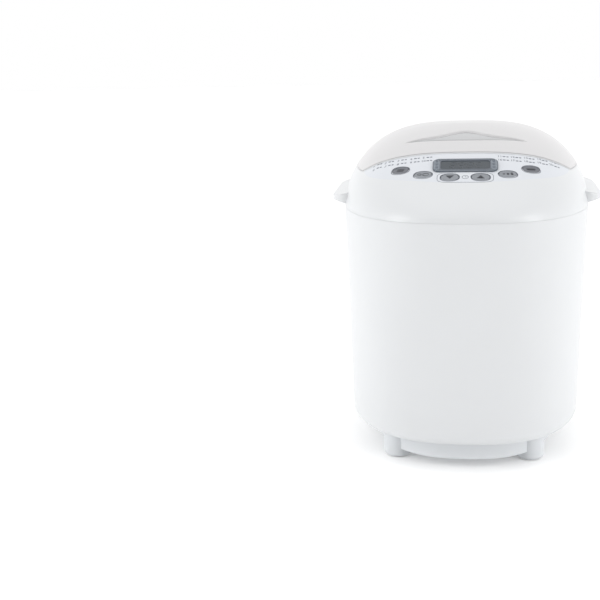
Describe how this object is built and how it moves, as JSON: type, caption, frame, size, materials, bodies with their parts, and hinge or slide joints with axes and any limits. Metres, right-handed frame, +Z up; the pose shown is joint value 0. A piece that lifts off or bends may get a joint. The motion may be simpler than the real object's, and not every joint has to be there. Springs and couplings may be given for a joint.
{
  "type": "bread machine",
  "caption": "Domed white bread machine with lens-shaped control console, hinged lid, side grips, lift-out pan, kneading paddle and belt drive.",
  "frame": {"origin": "centre of the footprint on the surface that the feet stand on", "axes": "+Z up, -Y towards the user at the control console, +X to the user's right"},
  "size_m": [0.265, 0.306, 0.3175],
  "materials": {
    "casing_white": "satin white moulded plastic",
    "lid_white": "satin white moulded plastic",
    "base_grey": "matt moulded plastic",
    "fascia": "printed satin film",
    "bezel_blue": "gloss dark blue grey",
    "clear_lens": "clear acrylic",
    "lcd_grey": "grey green liquid crystal glass",
    "window_glaze": "frosted acrylic",
    "button_grey": "fine matt",
    "board_green": "solder resist",
    "black_plastic": "moulded",
    "rubber": "matt",
    "silicone": "matt silicone",
    "steel": "zinc plated",
    "aluminised_sheet": "aluminised sheet, satin",
    "nonstick": "dark non-stick coating",
    "handle_steel": "drawn wire",
    "element_steel": "heat darkened tube",
    "ceramic": "glazed ceramic",
    "bronze": "sintered bronze",
    "cast_alloy": "die cast",
    "core_steel": "varnished laminations"
  },
  "bodies": {
    "casing": {"body_shell": "casing_white", "base_tray": "base_grey", "top_housing": "casing_white", "foot_front_left": "casing_white", "foot_front_right": "casing_white", "foot_rear_left": "casing_white", "foot_rear_right": "casing_white", "foot_pads": "rubber", "left_grip": "casing_white", "right_grip": "casing_white", "cord_gland": "black_plastic", "control_panel": "fascia", "display_bezel": "bezel_blue", "display_lens": "clear_lens", "lcd_module": "lcd_grey", "control_board": "board_green", "tact_switches": "black_plastic", "hinge_pins": "steel", "oven_liner": "aluminised_sheet", "liner_brackets": "steel", "heating_element": "element_steel", "element_clips": "steel", "element_terminals": "ceramic", "temperature_sensor": "element_steel", "pan_catches": "steel", "spindle_bearing": "bronze", "drive_belt": "rubber", "chassis_plate": "steel", "motor_stator": "core_steel", "motor_frame": "cast_alloy", "power_board": "board_green", "board_holder": "steel", "transformer": "core_steel", "motor_capacitor": "black_plastic", "thermal_fuse": "element_steel", "base_screws": "steel", "chassis_screws": "steel"},
    "lid": {"lid_cover": "lid_white", "lid_window": "window_glaze", "lid_liner": "aluminised_sheet", "lid_gasket": "silicone", "lid_screws": "steel"},
    "pan": {"bread_pan": "nonstick", "pan_pivots": "handle_steel", "pan_bush": "bronze"},
    "pan_handle": {"pan_handle": "handle_steel"},
    "kneader": {"pan_shaft": "steel", "kneading_paddle": "nonstick"},
    "spindle": {"drive_spindle": "steel", "drive_coupling": "cast_alloy", "large_pulley": "black_plastic"},
    "rotor": {"motor_rotor": "core_steel", "motor_pulley": "black_plastic", "motor_fan": "black_plastic"},
    "button_menu": {"button_menu": "button_grey"},
    "button_loaf_size": {"button_loaf_size": "button_grey"},
    "button_time_down": {"button_time_down": "button_grey"},
    "button_time_up": {"button_time_up": "button_grey"},
    "button_crust": {"button_crust": "button_grey"},
    "button_start_stop": {"button_start_stop": "button_grey"}
  },
  "joints": [
    {"name": "lid_hinge", "type": "hinge", "parent": "casing", "child": "lid", "pos_m": [0, 0.14565, 0.28056], "axis": [-1, 0, 0], "range_deg": [0, 85]},
    {"name": "pan_lift", "type": "slide", "parent": "casing", "child": "pan", "axis": [0, 0, 1], "range_m": [0, 0.008]},
    {"name": "pan_handle_tilt", "type": "hinge", "parent": "pan", "child": "pan_handle", "pos_m": [0, 0.033, 0.264], "axis": [-1, 0, 0], "range_deg": [0, 10]},
    {"name": "spindle_spin", "type": "hinge", "parent": "casing", "child": "spindle", "pos_m": [0, 0.033, 0.05], "axis": [0, 0, 1], "continuous": true},
    {"name": "motor_spin", "type": "hinge", "parent": "casing", "child": "rotor", "pos_m": [0.034, -0.1, 0.06], "axis": [0, 0, 1], "continuous": true},
    {"name": "kneader_spin", "type": "hinge", "parent": "pan", "child": "kneader", "pos_m": [0, 0.033, 0.1], "axis": [0, 0, 1], "continuous": true},
    {"name": "button_menu_press", "type": "slide", "parent": "casing", "child": "button_menu", "axis": [0, 0.3714, -0.9285], "range_m": [0, 0.0012], "stiffness_N_per_m": 600},
    {"name": "button_loaf_size_press", "type": "slide", "parent": "casing", "child": "button_loaf_size", "axis": [0, 0.3714, -0.9285], "range_m": [0, 0.0012], "stiffness_N_per_m": 600},
    {"name": "button_time_down_press", "type": "slide", "parent": "casing", "child": "button_time_down", "axis": [0, 0.3714, -0.9285], "range_m": [0, 0.0012], "stiffness_N_per_m": 600},
    {"name": "button_time_up_press", "type": "slide", "parent": "casing", "child": "button_time_up", "axis": [0, 0.3714, -0.9285], "range_m": [0, 0.0012], "stiffness_N_per_m": 600},
    {"name": "button_crust_press", "type": "slide", "parent": "casing", "child": "button_crust", "axis": [0, 0.3714, -0.9285], "range_m": [0, 0.0012], "stiffness_N_per_m": 600},
    {"name": "button_start_stop_press", "type": "slide", "parent": "casing", "child": "button_start_stop", "axis": [0, 0.3714, -0.9285], "range_m": [0, 0.0012], "stiffness_N_per_m": 600}
  ],
  "couplings": [
    {"joint": "motor_spin", "follows": "spindle_spin", "ratio": 5.5556},
    {"joint": "kneader_spin", "follows": "spindle_spin", "ratio": 1}
  ]
}
